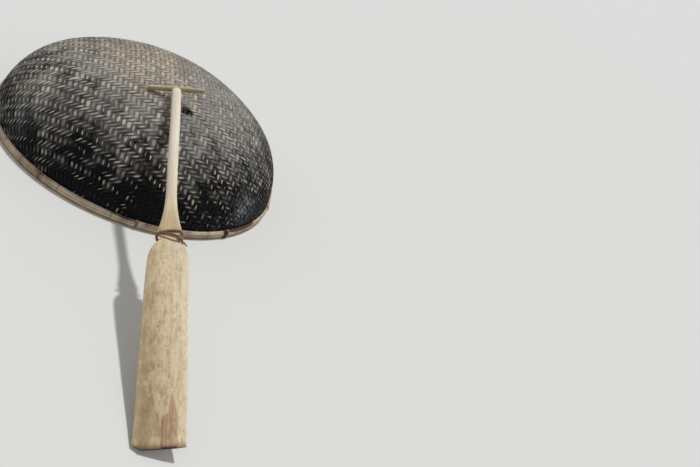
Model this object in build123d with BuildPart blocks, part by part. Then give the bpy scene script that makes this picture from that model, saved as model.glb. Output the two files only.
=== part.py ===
from build123d import *
import os
from math import acos, asin, atan2, cos, degrees, hypot, radians, sin, sqrt

os.makedirs("parts", exist_ok=True)

# A round basket boat stored upside down, rim on the ground and crown up, with its paddle leaning on it.
# Millimetres. The origin is on the hull's axis at the ground, +Z is up, and the paddle lies towards -Y.

# Hull: a woven bowl whose outer face is a bilge arc and a crown arc that meet tangent
hull_radius = 780
hull_depth = 537
bilge_radius = 429
hull_wall = 9

# Gunwale: two split bamboo hoops pinch the hull's edge, and a flat cap strip covers that edge
seat_gap = 0.3
cap_thickness = 9
cap_overhang = 9
hoop_height = 36
hoop_round = 8
outer_hoop_thickness = 14
inner_hoop_thickness = 20
scarf_length = 170
scarf_gap = 0.6
scarf_azimuth = -14

# Lashings: flat strips wound side by side round the gunwale, through slots in the hull
lashing_count = 10
first_lashing_azimuth = -59
strip_width = 4.4
lashing_turns = 3
lashing_thickness = 2.4
binding_turns = 7
binding_thickness = 3.6

# Ribs: split bamboo strips sprung against the inside, one layer each way, ends tucked behind the inner hoop
rib_width = 46
rib_thickness = 6
rib_spacing = 250
rib_count = 3
rib_tuck = 22

# Paddle: shaft, flared neck and blade from one plank
paddle_length = 1780
shaft_width = 46
shaft_thickness = 43
shaft_corner = 20
flare_start = 644
flare_width = 96
flare_thickness = 33
flare_corner = 12
flare_power = 2.3
flare_steps = 5
neck_start = 892
neck_length = 40
neck_width = 80
neck_thickness = 31
neck_corner = 10
neck_step = 18
shoulder_length = 88
shoulder_width = 166
shoulder_thickness = 24
shoulder_corner = 8
shoulder_power = 0.44
shoulder_steps = 4
blade_tip_width = 180
blade_tip_thickness = 13
blade_tip_corner = 5

# Cross grip on the shaft's tenon, and the cord turns in the paddle's neck
grip_length = 275
grip_radius = 14
grip_end_radius = 11
grip_end_round = 5.5
shaft_start = 8
tenon_radius = 10
tenon_end = -13
neck_turns = 3
neck_cord_diameter = 7

# How the paddle lies: rolled about its own line, turned a little about the hull's axis and moved aside
paddle_roll = 22
paddle_turn = 1
paddle_aside = -41
grip_overhang = 22

# How far a cut or a trimming block runs past what it cuts
cut_past = 10

# Hull arcs in the plane of a radius: x from the axis, y up
bilge_centre = (hull_radius - bilge_radius, 0)
crown_radius = (bilge_centre[0] ** 2 + hull_depth**2 - bilge_radius**2) / (2 * (hull_depth - bilge_radius))
crown_centre = (0, hull_depth - crown_radius)
meet_angle = degrees(atan2(-crown_centre[1], bilge_centre[0]))
hoop_top = cap_thickness + hoop_height


def arc_angle(offset, height):
    """Angle on the bilge arc, moved out by offset, at a height above the ground."""
    return degrees(asin(height / (bilge_radius + offset)))


def hull_x(offset, height):
    """Distance from the axis to the hull's outer face, moved out by offset, at a height on the bilge."""
    return bilge_centre[0] + sqrt((bilge_radius + offset) ** 2 - height**2)


def layer_outline(outside, inside, base):
    """Closed outline between two offsets of the hull's outer face, from the height base to the axis."""
    lines = []
    for offset in (outside, inside):
        start = arc_angle(offset, base)
        bilge = CenterArc(bilge_centre, bilge_radius + offset, start, meet_angle - start)
        crown = CenterArc(crown_centre, crown_radius + offset, meet_angle, 90 - meet_angle)
        lines.append((bilge, crown))
    Line(lines[0][0] @ 0, lines[1][0] @ 0)
    Line(lines[0][1] @ 1, lines[1][1] @ 1)


def split_outline(back_offset, thickness, side):
    """Split bamboo section: its back follows the hull at back_offset, its face is rounded; side is 1 outwards."""
    start = arc_angle(back_offset, cap_thickness)
    back = CenterArc(bilge_centre, bilge_radius + back_offset, start, arc_angle(back_offset, hoop_top) - start)
    edge = (side * (thickness - hoop_round), 0)
    lower = Line(back @ 0, back @ 0 + edge)
    upper = Line(back @ 1, back @ 1 + edge)
    middle = (cap_thickness + hoop_top) / 2
    face = hull_x(back_offset, middle) + side * thickness
    ThreePointArc(lower @ 1, (face, middle), upper @ 1)


def turn_angle(width):
    """Angle that a width takes along the rim."""
    return degrees(width / hull_radius)


def on_rim(solid, azimuths):
    """Copies of a solid that starts at azimuth 0, turned about the axis to each azimuth."""
    return [solid.rotate(Axis.Z, azimuth) for azimuth in azimuths]


outer_back = seat_gap
inner_back = -hull_wall - seat_gap
cap_outer = hull_radius + cap_overhang
cap_inner = hull_radius - hull_wall - cap_overhang
cap_middle = (cap_outer + cap_inner) / 2
bay = 360 / lashing_count
lashing_azimuths = [first_lashing_azimuth + k * bay for k in range(lashing_count)]

# name, azimuths, turns side by side, strip thickness, whether it goes round the cap too
lashing_table = [
    ("gunwale_lashings", lashing_azimuths[1:], lashing_turns, lashing_thickness, False),
    ("rim_binding", lashing_azimuths[:1], binding_turns, binding_thickness, True),
]

# Lashings, each turn a taut loop, and the room that they need. The nine narrow ones go round the hoops and
# the hull's edge, and the cap covers them; the broad binding goes round the cap too
slots = []
grooves = []
for name, azimuths, turns, thickness, round_cap in lashing_table:
    groove_depth = thickness + 2 * seat_gap
    with BuildSketch(Plane.XZ) as bound:
        with BuildLine():
            split_outline(outer_back, outer_hoop_thickness, 1)
        make_face()
        with BuildLine():
            split_outline(inner_back, inner_hoop_thickness, -1)
        make_face()
        if round_cap:
            with Locations((cap_middle, (groove_depth + cap_thickness) / 2)):
                Rectangle(cap_outer - cap_inner, cap_thickness - groove_depth)
        make_hull()
        offset(amount=seat_gap)
    with BuildPart() as strand:
        with BuildSketch(Plane.XZ):
            add(bound.sketch)
            offset(amount=thickness)
            add(bound.sketch, mode=Mode.SUBTRACT)
        revolve(axis=Axis.Z, revolution_arc=turn_angle(strip_width))
    pitch = strip_width + seat_gap
    width = turns * pitch - seat_gap
    starts = [azimuth + turn_angle(turn * pitch - width / 2) for azimuth in azimuths for turn in range(turns)]
    with BuildPart() as lashings:
        add(on_rim(strand.part, starts))
    lashings.part.label = name
    export_step(lashings.part, f"parts/{name}.step")
    room = turn_angle(width + 2 * seat_gap)
    starts = [azimuth - room / 2 for azimuth in azimuths]
    with BuildPart() as slot:
        with BuildSketch(Plane.XZ):
            with Locations((hull_radius - hull_wall / 2, hoop_top + seat_gap + thickness / 2)):
                Rectangle(hull_wall + 2 * cut_past, groove_depth)
        revolve(axis=Axis.Z, revolution_arc=room)
    slots.extend(on_rim(slot.part, starts))
    with BuildPart() as groove:
        with BuildSketch(Plane.XZ):
            with Locations((cap_middle, groove_depth / 2 if round_cap else cap_thickness - groove_depth / 2)):
                Rectangle(cap_outer - cap_inner + 2 * cut_past, groove_depth)
        revolve(axis=Axis.Z, revolution_arc=room)
    grooves.extend(on_rim(groove.part, starts))

# Hull, from the top of the cap to the crown
with BuildPart() as woven_hull:
    with BuildSketch(Plane.XZ):
        with BuildLine():
            layer_outline(0, -hull_wall, cap_thickness)
        make_face()
    revolve(axis=Axis.Z)
    add(slots, mode=Mode.SUBTRACT)
woven_hull.part.label = "woven_hull"
export_step(woven_hull.part, "parts/woven_hull.step")

# Cap strip over the hull's edge, grooved on top for the lashings and underneath for the binding
with BuildPart() as rim_cap:
    with BuildSketch(Plane.XZ):
        with Locations((cap_middle, cap_thickness / 2)):
            Rectangle(cap_outer - cap_inner, cap_thickness)
    revolve(axis=Axis.Z)
    add(grooves, mode=Mode.SUBTRACT)
rim_cap.part.label = "rim_cap"
export_step(rim_cap.part, "parts/rim_cap.step")

# Outer hoop, its two ends scarfed together
with BuildPart() as outer_hoop:
    with BuildSketch(Plane.XZ):
        with BuildLine():
            split_outline(outer_back, outer_hoop_thickness, 1)
        make_face()
    revolve(axis=Axis.Z)
    scarf_turn = degrees(atan2(hoop_height, scarf_length))
    azimuth = radians(scarf_azimuth)
    outwards = Vector(cos(azimuth), sin(azimuth), 0)
    with BuildSketch(
        Plane(
            origin=outwards * hull_radius + (0, 0, cap_thickness + hoop_height / 2),
            x_dir=(-sin(azimuth), cos(azimuth), 0),
            z_dir=outwards,
        )
    ):
        Rectangle(2 * scarf_length, scarf_gap, rotation=scarf_turn)
    extrude(amount=3 * outer_hoop_thickness, both=True, mode=Mode.SUBTRACT)
outer_hoop.part.label = "outer_gunwale_hoop"
export_step(outer_hoop.part, "parts/outer_gunwale_hoop.step")

# Ribs: a lengthwise layer against the hull and a crosswise layer inside it
rib_places = [(k - (rib_count - 1) / 2) * rib_spacing for k in range(rib_count)]
rib_foot = hoop_top - rib_tuck
trim_length = 2 * (hull_radius + cut_past)
# name, layer counted from the hull, turn about the axis
rib_table = [
    ("long_rib", 0, 0),
    ("cross_rib", 1, 90),
]
pockets = []
for name, layer, turn in rib_table:
    outside = -hull_wall - seat_gap - layer * (rib_thickness + seat_gap)
    inside = outside - rib_thickness
    for index, place in enumerate(rib_places):
        with BuildPart() as rib:
            with BuildSketch(Plane.XZ):
                with BuildLine():
                    layer_outline(outside, inside, rib_foot)
                make_face()
            revolve(axis=Axis.Z)
            with Locations(Location((0, 0, 0), (0, 0, turn))):
                with Locations((place, 0, 0)):
                    Box(rib_width, trim_length, 2 * (hull_depth + cut_past), mode=Mode.INTERSECT)
        rib.part.label = f"{name}_{index + 1}"
        export_step(rib.part, f"parts/{name}_{index + 1}.step")
        with BuildPart() as pocket:
            with BuildSketch(Plane.XZ):
                with BuildLine():
                    layer_outline(0, inside - seat_gap, rib_foot - seat_gap)
                make_face()
            revolve(axis=Axis.Z)
            with Locations(Location((0, 0, 0), (0, 0, turn))):
                with Locations((place, 0, 0)):
                    Box(rib_width + 2 * seat_gap, trim_length, 2 * (hoop_top + cut_past), mode=Mode.INTERSECT)
        pockets.append(pocket.part)

# Inner hoop, with a pocket behind it for each rib's end
with BuildPart() as inner_hoop:
    with BuildSketch(Plane.XZ):
        with BuildLine():
            split_outline(inner_back, inner_hoop_thickness, -1)
        make_face()
    revolve(axis=Axis.Z)
    add(pockets, mode=Mode.SUBTRACT)
inner_hoop.part.label = "inner_gunwale_hoop"
export_step(inner_hoop.part, "parts/inner_gunwale_hoop.step")

# Paddle's line. One end of the rolled grip touches the crown, grip_overhang above the place where the line is
# nearest to it, and one corner of the tip meets the ground. Reaches are from the crown's centre
roll = radians(paddle_roll)
end_inward = grip_length / 2 - grip_end_round
end_below = grip_end_radius - grip_end_round
end_aside = paddle_aside - end_inward * cos(roll) + end_below * sin(roll)
end_reach = crown_radius + grip_end_round + seat_gap
end_height = sqrt(end_reach**2 - end_aside**2 - grip_overhang**2)
line_reach = end_height + end_inward * sin(roll) + end_below * cos(roll)
corner_aside = blade_tip_width / 2 - blade_tip_corner
corner_below = blade_tip_thickness / 2 - blade_tip_corner
tip_drop = corner_aside * sin(roll) + corner_below * cos(roll) + blade_tip_corner
upright = line_reach - tip_drop
along = paddle_length - grip_overhang
lean = acos(-crown_centre[1] / hypot(upright, along)) - atan2(along, upright)
grip_reach = line_reach * sin(lean) - grip_overhang * cos(lean)
grip_height = crown_centre[1] + line_reach * cos(lean) + grip_overhang * sin(lean)


def turned(x, y, z):
    """Vector turned about the hull's axis as the paddle is."""
    return Vector(x, y, z).rotate(Axis.Z, paddle_turn)


paddle_line = Plane(
    origin=turned(paddle_aside, -grip_reach, grip_height),
    x_dir=turned(cos(roll), -sin(lean) * sin(roll), cos(lean) * sin(roll)),
    z_dir=turned(0, -cos(lean), -sin(lean)),
)
across = Plane(origin=paddle_line.origin, x_dir=paddle_line.z_dir, z_dir=paddle_line.x_dir)
print(f"paddle leans {degrees(lean):.2f} degrees, grip at {grip_reach:.1f}, {grip_height:.1f}")


def sections_between(start, end, power, steps):
    """Sections from one row of the paddle's table to the next, the width growing by a power of the way."""
    rows = []
    for k in range(1, steps + 1):
        share = k / steps
        row = [first + (last - first) * share for first, last in zip(start, end)]
        row[1] = start[1] + (end[1] - start[1]) * share**power
        rows.append(row)
    return rows


# place along the paddle from the grip's middle, width, thickness, corner radius
shaft_top = (shaft_start, shaft_width, shaft_thickness, shaft_corner)
shaft_foot = (flare_start, shaft_width, shaft_thickness, shaft_corner)
flare_foot = (neck_start - neck_step, flare_width, flare_thickness, flare_corner)
neck_top = (neck_start, neck_width, neck_thickness, neck_corner)
neck_foot = (neck_start + neck_length, neck_width, neck_thickness, neck_corner)
shoulder_place = neck_start + neck_length + shoulder_length
shoulder_foot = (shoulder_place, shoulder_width, shoulder_thickness, shoulder_corner)
blade_tip = (paddle_length, blade_tip_width, blade_tip_thickness, blade_tip_corner)
paddle_sections = [
    shaft_top,
    shaft_foot,
    *sections_between(shaft_foot, flare_foot, flare_power, flare_steps),
    neck_top,
    neck_foot,
    *sections_between(neck_foot, shoulder_foot, shoulder_power, shoulder_steps),
    blade_tip,
]
with BuildPart() as paddle:
    for place, width, thickness, corner in paddle_sections:
        with BuildSketch(paddle_line.offset(place)):
            RectangleRounded(width, thickness, corner)
    loft(ruled=True)
    with BuildSketch(across.offset(-grip_length)):
        Circle(grip_radius + seat_gap)
    extrude(amount=2 * grip_length, mode=Mode.SUBTRACT)
    with BuildSketch(paddle_line.offset(tenon_end)):
        Circle(tenon_radius)
    extrude(amount=2 * shaft_start - tenon_end)
paddle.part.label = "paddle"
export_step(paddle.part, "parts/paddle.step")

# Grip: a turned bar with domed ends across the shaft, bored for the shaft's tenon
with BuildPart() as paddle_grip:
    with BuildSketch(Plane(origin=paddle_line.origin, x_dir=paddle_line.x_dir, z_dir=paddle_line.z_dir)):
        with BuildLine():
            half = grip_length / 2
            swell = ThreePointArc((-half, grip_end_radius), (0, grip_radius), (half, grip_end_radius))
            Polyline(swell @ 1, (half, 0), (-half, 0), swell @ 0)
        make_face()
    revolve(axis=Axis(paddle_line.origin, paddle_line.x_dir))
    fillet(paddle_grip.edges().filter_by(GeomType.CIRCLE), grip_end_round)
    with BuildSketch(paddle_line.offset(-2 * grip_radius)):
        Circle(tenon_radius + seat_gap)
    extrude(amount=4 * grip_radius, mode=Mode.SUBTRACT)
paddle_grip.part.label = "paddle_grip"
export_step(paddle_grip.part, "parts/paddle_grip.step")

# Cord turns that lie in the paddle's neck
with BuildPart() as neck_lashing:
    reach = neck_cord_diameter / 2 + seat_gap
    pitch = neck_cord_diameter + seat_gap
    for turn in range(neck_turns):
        middle = neck_start + neck_length / 2 + (turn - (neck_turns - 1) / 2) * pitch
        with BuildSketch(paddle_line.offset(middle), mode=Mode.PRIVATE) as route:
            RectangleRounded(neck_width + 2 * reach, neck_thickness + 2 * reach, neck_corner + reach)
        path = route.sketch.wires()[0]
        with BuildSketch(Plane(origin=path @ 0, z_dir=path % 0)):
            Circle(neck_cord_diameter / 2)
        sweep(path=path)
neck_lashing.part.label = "paddle_neck_lashing"
export_step(neck_lashing.part, "parts/paddle_neck_lashing.step")
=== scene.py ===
import math

import bmesh
import bpy
from bpy.props import FloatProperty, FloatVectorProperty, IntProperty, PointerProperty
from mathutils import Matrix, Vector, noise


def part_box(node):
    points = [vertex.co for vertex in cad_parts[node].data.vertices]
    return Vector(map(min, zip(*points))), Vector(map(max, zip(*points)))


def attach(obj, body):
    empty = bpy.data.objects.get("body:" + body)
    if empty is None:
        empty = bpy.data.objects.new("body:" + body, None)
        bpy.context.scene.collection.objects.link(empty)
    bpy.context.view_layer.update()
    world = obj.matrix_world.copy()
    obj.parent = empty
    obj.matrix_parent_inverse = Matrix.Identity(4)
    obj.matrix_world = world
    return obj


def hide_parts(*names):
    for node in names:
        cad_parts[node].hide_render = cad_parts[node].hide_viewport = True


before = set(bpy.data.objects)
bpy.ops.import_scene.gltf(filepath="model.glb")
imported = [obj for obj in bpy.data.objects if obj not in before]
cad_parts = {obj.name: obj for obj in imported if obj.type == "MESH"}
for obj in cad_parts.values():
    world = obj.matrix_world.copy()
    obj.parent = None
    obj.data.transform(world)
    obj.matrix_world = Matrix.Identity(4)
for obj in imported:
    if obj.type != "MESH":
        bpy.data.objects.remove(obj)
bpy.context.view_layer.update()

bl_info = {
    "name": "Basket Coracle",
    "version": (1, 0, 0),
    "blender": (4, 5, 0),
    "location": "3D View > Sidebar > Coracle",
    "description": "Weaves, tars, binds and finishes an upturned basket coracle and its paddle",
    "category": "Object",
}

BODY = "root"

# Hull: a bilge arc and a crown arc that meet tangent, turned about the Z axis
HULL_LOW, HULL_HIGH = (Vector(corner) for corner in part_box("woven_hull"))
HULL_RADIUS = HULL_HIGH.x
HULL_DEPTH = HULL_HIGH.z
HULL_BASE = HULL_LOW.z
HULL_WALL = 0.009
BILGE_RADIUS = 0.429
BILGE_MIDDLE = HULL_RADIUS - BILGE_RADIUS
CROWN_RADIUS = (BILGE_MIDDLE**2 + HULL_DEPTH**2 - BILGE_RADIUS**2) / (2 * (HULL_DEPTH - BILGE_RADIUS))
CROWN_MIDDLE = HULL_DEPTH - CROWN_RADIUS
MEET_ANGLE = math.atan2(-CROWN_MIDDLE, BILGE_MIDDLE)
CROWN_ARC = (math.pi / 2 - MEET_ANGLE) * CROWN_RADIUS
RIM_ARC = CROWN_ARC + MEET_ANGLE * BILGE_RADIUS
STRIP_MARKS = ("crest", "age_and_shade", "spread", "tone", "smear")
QUADS_PER_PITCH = 2
QUADS_ACROSS = 3
COAT_THICKNESS = 0.0016
COAT_RINGS = 44
COAT_STEPS = 144

# Gunwale; a hoop is its back's offset from the hull's face, its thickness and the side that it faces
SEAT_GAP = 0.0003
CAP_THICKNESS = HULL_BASE
CAP_OVERHANG = 0.009
HOOP_HEIGHT = 0.036
HOOP_ROUND = 0.008
HOOP_SPLIT = 0.06
OUTER_HOOP = (SEAT_GAP, 0.014, 1)
INNER_HOOP = (-HULL_WALL - SEAT_GAP, 0.020, -1)
STRANDS_APART = math.radians(16)
SCARF_AZIMUTH = math.radians(-14)
SCARF_LENGTH = 0.17
HOOP_STEPS = 1200
FACE_POINTS = 22
BACK_POINTS = 3
LASHING_COUNT = 10
FIRST_LASHING = math.radians(-59)
LASHING_SAMPLES = 8
LASHING_SWAY = 0.0005

# Paddle: its line starts at the middle of the grip
GRIP_LOW, GRIP_HIGH = (Vector(corner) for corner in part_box("paddle_grip"))
PADDLE_TOP = (GRIP_LOW + GRIP_HIGH) / 2
PADDLE_LENGTH = 1.78
PADDLE_ROLL = math.radians(22)
PADDLE_TURN = math.radians(1)
GRIP_SEAT = 0.012
SHAFT_WIDTH = 0.046
SHAFT_THICKNESS = 0.043
SHAFT_ROUND = 0.020
FLARE_START = 0.644
FLARE_WIDTH = 0.096
FLARE_THICKNESS = 0.033
NECK_STEP = 0.018
NECK_START = 0.892
NECK_LENGTH = 0.04
NECK_WIDTH = 0.08
NECK_THICKNESS = 0.031
NECK_RAMP = 0.006
NECK_ROUND = 0.010
NECK_SLACK = 0.006
SHOULDER_LENGTH = 0.088
SHOULDER_WIDTH = 0.166
SHOULDER_THICKNESS = 0.024
SHOULDER_ROUND = 0.007
SHOULDER_FULLNESS = 1.65
BLADE_CROWN = 0.45
BLADE_TIP_WIDTH = 0.18
BLADE_TIP_THICKNESS = 0.013
BLADE_TIP_CORNER = 0.005
BLADE_TIP_ROUND = 0.0045
TIP_WEAR = 0.07
FLARE_END = NECK_START - NECK_STEP
NECK_END = NECK_START + NECK_LENGTH
SHOULDER_END = NECK_END + SHOULDER_LENGTH
TIP_ASIDE = BLADE_TIP_WIDTH / 2 - BLADE_TIP_CORNER
TIP_BELOW = BLADE_TIP_THICKNESS / 2 - BLADE_TIP_CORNER
TIP_DROP = TIP_ASIDE * math.sin(PADDLE_ROLL) + TIP_BELOW * math.cos(PADDLE_ROLL) + BLADE_TIP_CORNER
TIP_SLOPE = math.atan2(TIP_DROP, PADDLE_LENGTH)
LEAN = math.asin(PADDLE_TOP.z / math.hypot(PADDLE_LENGTH, TIP_DROP)) - TIP_SLOPE
TURN = Matrix.Rotation(PADDLE_TURN, 3, "Z") @ Matrix.Rotation(LEAN, 3, "X")
DOWN_PADDLE = TURN @ Vector((0, -1, 0))
ACROSS_PADDLE = TURN @ Vector((math.cos(PADDLE_ROLL), 0, math.sin(PADDLE_ROLL)))
OFF_PADDLE = TURN @ Vector((-math.sin(PADDLE_ROLL), 0, math.cos(PADDLE_ROLL)))

# Camera, level with the photograph's view of the tilted boat
CAMERA_PLACE = Vector((-0.6906, -3.1943, 1.8117))
CAMERA_AHEAD = Vector((0.51274, 0.72997, -0.45195))
CAMERA_UP = Vector((-0.24280, 0.62821, 0.73919))
CAMERA_RIGHT = CAMERA_AHEAD.cross(CAMERA_UP).normalized()
CAMERA_LENS = 30.857


# Numbers, colours and settings


def clamp(number, low=0.0, high=1.0):
    """A number kept between two others."""
    return max(low, min(high, number))


def blend(start, end, share):
    """Number between two, by a share."""
    return start + (end - start) * share


def bell(away):
    """1 at nought, and less and less away from it."""
    return math.exp(-(away**2))


def ripple(x, y, z):
    """Smooth noise, about -1 to 1."""
    return noise.noise(Vector((x, y, z)))


def wobble(*numbers):
    """A steady number from 0 to 1 that looks random, from whole numbers."""
    mixed = math.sin(sum(n * f for n, f in zip(numbers, (12.9898, 78.233, 37.719, 4.581)))) * 43758.5453
    return mixed - math.floor(mixed)


def turn_between(azimuth, other):
    """The shorter turn from one azimuth to another."""
    return (azimuth - other + math.pi) % math.tau - math.pi


def linear(*shades):
    """A colour as light, from the red, green and blue that a screen shows."""
    light = (((c + 0.055) / 1.055) ** 2.4 if c > 0.04 else c / 12.92 for c in shades)
    return (*light, 1.0)


def opaque(colour):
    """A colour of the settings, as a node takes it."""
    return (*colour, 1.0)


def metres(name, description, default):
    """A length among the settings."""
    return FloatProperty(name=name, description=description, default=default, subtype="DISTANCE")


def degrees(name, description, default):
    """An angle among the settings."""
    return FloatProperty(name=name, description=description, default=math.radians(default), subtype="ANGLE")


def tint(name, description, *shades):
    """A colour among the settings."""
    return FloatVectorProperty(name=name, description=description, default=linear(*shades)[:3], subtype="COLOR")


BROWN_BAMBOO = linear(0.70, 0.59, 0.45), linear(0.50, 0.40, 0.29)
CAP_BAMBOO = linear(0.80, 0.72, 0.60), linear(0.62, 0.53, 0.42)
HOOP_BAMBOO = linear(0.88, 0.81, 0.71), linear(0.71, 0.63, 0.53)


# Shader nodes


class Value:
    """A socket that holds a number, with the arithmetic that the finishes use."""

    def __init__(self, finish, socket):
        self.finish = finish
        self.socket = socket

    def math(self, operation, *others, swap=False):
        terms = [self, *others]
        if swap:
            terms.reverse()
        inputs = dict(enumerate(terms))
        return self.finish.value("ShaderNodeMath", {"operation": operation}, inputs)

    def __add__(self, other):
        return self.math("ADD", other)

    __radd__ = __add__

    def __sub__(self, other):
        return self.math("SUBTRACT", other)

    def __rsub__(self, other):
        return self.math("SUBTRACT", other, swap=True)

    def __mul__(self, other):
        return self.math("MULTIPLY", other)

    __rmul__ = __mul__

    def __truediv__(self, other):
        return self.math("DIVIDE", other)

    def rise(self, low, high):
        """0 under low, 1 over high, and a smooth rise between them."""
        settings = {"interpolation_type": "SMOOTHSTEP"}
        return self.finish.value("ShaderNodeMapRange", settings, {"Value": self, "From Min": low, "From Max": high})


class Finish:
    """A material in the making, or the sky; its colour is built up coat by coat."""

    def __init__(self, name, kind="materials"):
        self.block = getattr(bpy.data, kind).new(name)
        self.block.use_nodes = True
        self.tree = self.block.node_tree
        self.tree.nodes.clear()
        self.colour = None

    def node(self, kind, settings=None, inputs=None):
        """A node of a kind, with its settings first, then the values or links of its sockets."""
        made = self.tree.nodes.new(kind)
        for key, setting in (settings or {}).items():
            setattr(made, key, setting)
        for key, given in (inputs or {}).items():
            source = given.socket if isinstance(given, Value) else given
            if isinstance(source, bpy.types.NodeSocket):
                self.tree.links.new(source, made.inputs[key])
            else:
                made.inputs[key].default_value = source
        return made

    def value(self, kind, settings=None, inputs=None, output=0):
        """The number that a new node gives."""
        return Value(self, self.node(kind, settings, inputs).outputs[output])

    def attribute(self, name):
        """A number kept on the mesh."""
        return self.value("ShaderNodeAttribute", {"attribute_name": name}, output="Fac")

    def noise(self, vector, scale, detail=3.0, roughness=0.5):
        """Noise from 0 to 1 over a vector."""
        inputs = {"Vector": vector, "Scale": scale, "Detail": detail, "Roughness": roughness}
        return self.value("ShaderNodeTexNoise", None, inputs, "Fac")

    def stretched(self, vector, scale, turn=0.0):
        """A vector turned and scaled, for a pattern that runs one way."""
        inputs = {"Vector": vector, "Scale": (*scale, 1.0)[:3], "Rotation": (0.0, 0.0, turn)}
        return self.node("ShaderNodeMapping", None, inputs).outputs[0]

    def grain(self, vector, scale, detail=3.0, roughness=0.5, turn=0.0):
        """Noise that runs one way."""
        return self.noise(self.stretched(vector, scale, turn), 1.0, detail, roughness)

    def mix(self, factor, first, second):
        """A colour between two."""
        return self.node("ShaderNodeMix", {"data_type": "RGBA"}, {0: factor, 6: first, 7: second}).outputs[2]

    def coat(self, factor, colour):
        """Lays a colour over the finish, by a factor."""
        self.colour = self.mix(factor, self.colour, colour)

    def object_place(self):
        """The place on the object, in metres."""
        return self.node("ShaderNodeTexCoord").outputs["Object"]

    def uv_place(self, name):
        """The place on the piece's own map, in metres along and across."""
        return self.node("ShaderNodeUVMap", {"uv_map": name}).outputs[0]

    def parts_of(self, vector):
        """The three numbers of a vector."""
        split = self.node("ShaderNodeSeparateXYZ", None, {0: vector})
        return [Value(self, socket) for socket in split.outputs]

    def joined(self, *numbers):
        """A vector of three numbers."""
        return self.node("ShaderNodeCombineXYZ", None, dict(enumerate(numbers))).outputs[0]

    def surface(self, roughness, height=None, bump=0.001, specular=0.5):
        """Joins the finish up as a surface, with a bump if a height is given."""
        inputs = {"Base Color": self.colour, "Roughness": roughness, "Specular IOR Level": specular}
        if height:
            raised = {"Height": height, "Distance": bump, "Strength": 1.0}
            inputs["Normal"] = self.node("ShaderNodeBump", None, raised).outputs[0]
        shader = self.node("ShaderNodeBsdfPrincipled", None, inputs)
        self.node("ShaderNodeOutputMaterial", None, {"Surface": shader.outputs[0]})
        return self.block


def tarred_weave_finish(settings):
    """Outside of the strips: black tar with grey dust, worn through to tan bamboo on the crests; less dust and wear
    low near the rim, partly as painted shade.
    """
    finish = Finish("tarred weave")
    place = finish.object_place()
    strip = finish.uv_place("strip")
    _, across, _ = finish.parts_of(strip)
    x, _, z = finish.parts_of(place)
    warm = 1.0 - x.rise(-0.15, 0.25)
    crest, age_and_shade, spread, tone, smear = (finish.attribute(name) for name in STRIP_MARKS)
    tone = tone - (1.0 - warm) * z.rise(0.26, 0.38) * 0.40
    fibres = finish.grain(strip, (9.0, 420.0))
    streaks = finish.grain(strip, (28.0, 95.0), 4.0, 0.65)
    scuffs = finish.noise(place, 70.0, 4.0, 0.65)
    cloud = finish.noise(place, 6.0, 4.0, 0.6)
    clusters = finish.noise(place, 11.0, 2.0)
    edge = (across / (settings.strip_width / 2)).math("ABSOLUTE") + (scuffs - 0.5) * 0.35
    crown = crest.math("POWER", 1.2) * (1.0 - edge.math("MINIMUM", 1.0))
    # wear and dust both fall towards the rim, partly as painted shade
    wear_and_shade = age_and_shade + spread
    needed = 0.84 - wear_and_shade * 0.17 - wear_and_shade.rise(0.40, 1.15) * 0.42 + (1.0 - wear_and_shade.rise(-0.15, 0.15)) * 0.5
    rubbed = (fibres - 0.5) * 0.3 + (streaks - 0.5) * 0.9 + (scuffs - 0.5) * 0.3
    worn = (crown - needed + rubbed + (clusters - 0.5) * 1.3).rise(-0.16, 0.16)
    uneven = spread * 0.45 + (cloud - 0.5) * 0.40 + (scuffs - 0.5) * 0.35 + (streaks - 0.5) * 0.30
    dust_and_shade = (age_and_shade + uneven + crown * 0.2).rise(0.10, 1.15)
    dust = finish.mix(z.rise(0.45, 0.53) * warm, opaque(settings.dust_colour), linear(0.60, 0.545, 0.475))
    tar = finish.mix(dust_and_shade, opaque(settings.tar_colour), dust)
    finish.colour = finish.mix(tone.rise(0.05, 0.45), linear(0.57, 0.56, 0.54), opaque(settings.faded_colour))
    finish.coat(tone.rise(0.45, 0.90), opaque(settings.worn_colour))
    finish.coat(fibres.rise(0.40, 0.78) * 0.35, linear(0.45, 0.39, 0.33))
    finish.colour = finish.mix(worn, tar, finish.colour)
    wiped = finish.grain(place, (60.0, 60.0, 16.0), 5.0, 0.7)
    finish.coat(smear * wiped.rise(0.40, 0.62) * 0.55, linear(0.50, 0.53, 0.555))
    roughness = 0.50 + worn * 0.25 + dust_and_shade * 0.15
    height = fibres * 0.45 + scuffs * 0.35 + worn * 0.2
    return finish.surface(roughness, height, 0.0009, specular=0.12)


def inner_weave_finish():
    """Inside of the strips: brown bamboo, darkened by tar that came through."""
    finish = Finish("inner weave")
    fibres = finish.grain(finish.uv_place("strip"), (9.0, 420.0))
    cloud = finish.noise(finish.object_place(), 9.0, 4.0, 0.6)
    stain = (cloud + finish.attribute("tone") * 0.35).rise(0.4, 0.85)
    finish.colour = finish.mix(stain, linear(0.44, 0.34, 0.25), linear(0.19, 0.15, 0.13))
    finish.coat(fibres.rise(0.35, 0.75) * 0.6, linear(0.24, 0.18, 0.14))
    return finish.surface(0.62 + fibres * 0.2, fibres, 0.0006)


def tar_finish():
    """Tar that fills the weave's gaps."""
    finish = Finish("tar")
    place = finish.object_place()
    lumps = finish.noise(place, 45.0, 5.0, 0.6)
    _, _, height = finish.parts_of(place)
    dust = (height + (lumps - 0.5) * 0.15).rise(0.14, 0.50)
    finish.colour = finish.mix(lumps.rise(0.35, 0.8), linear(0.03, 0.03, 0.035), linear(0.09, 0.09, 0.095))
    finish.coat(dust, linear(0.50, 0.485, 0.46))
    return finish.surface(0.5 + lumps * 0.3, lumps, 0.002, specular=0.12)


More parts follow.
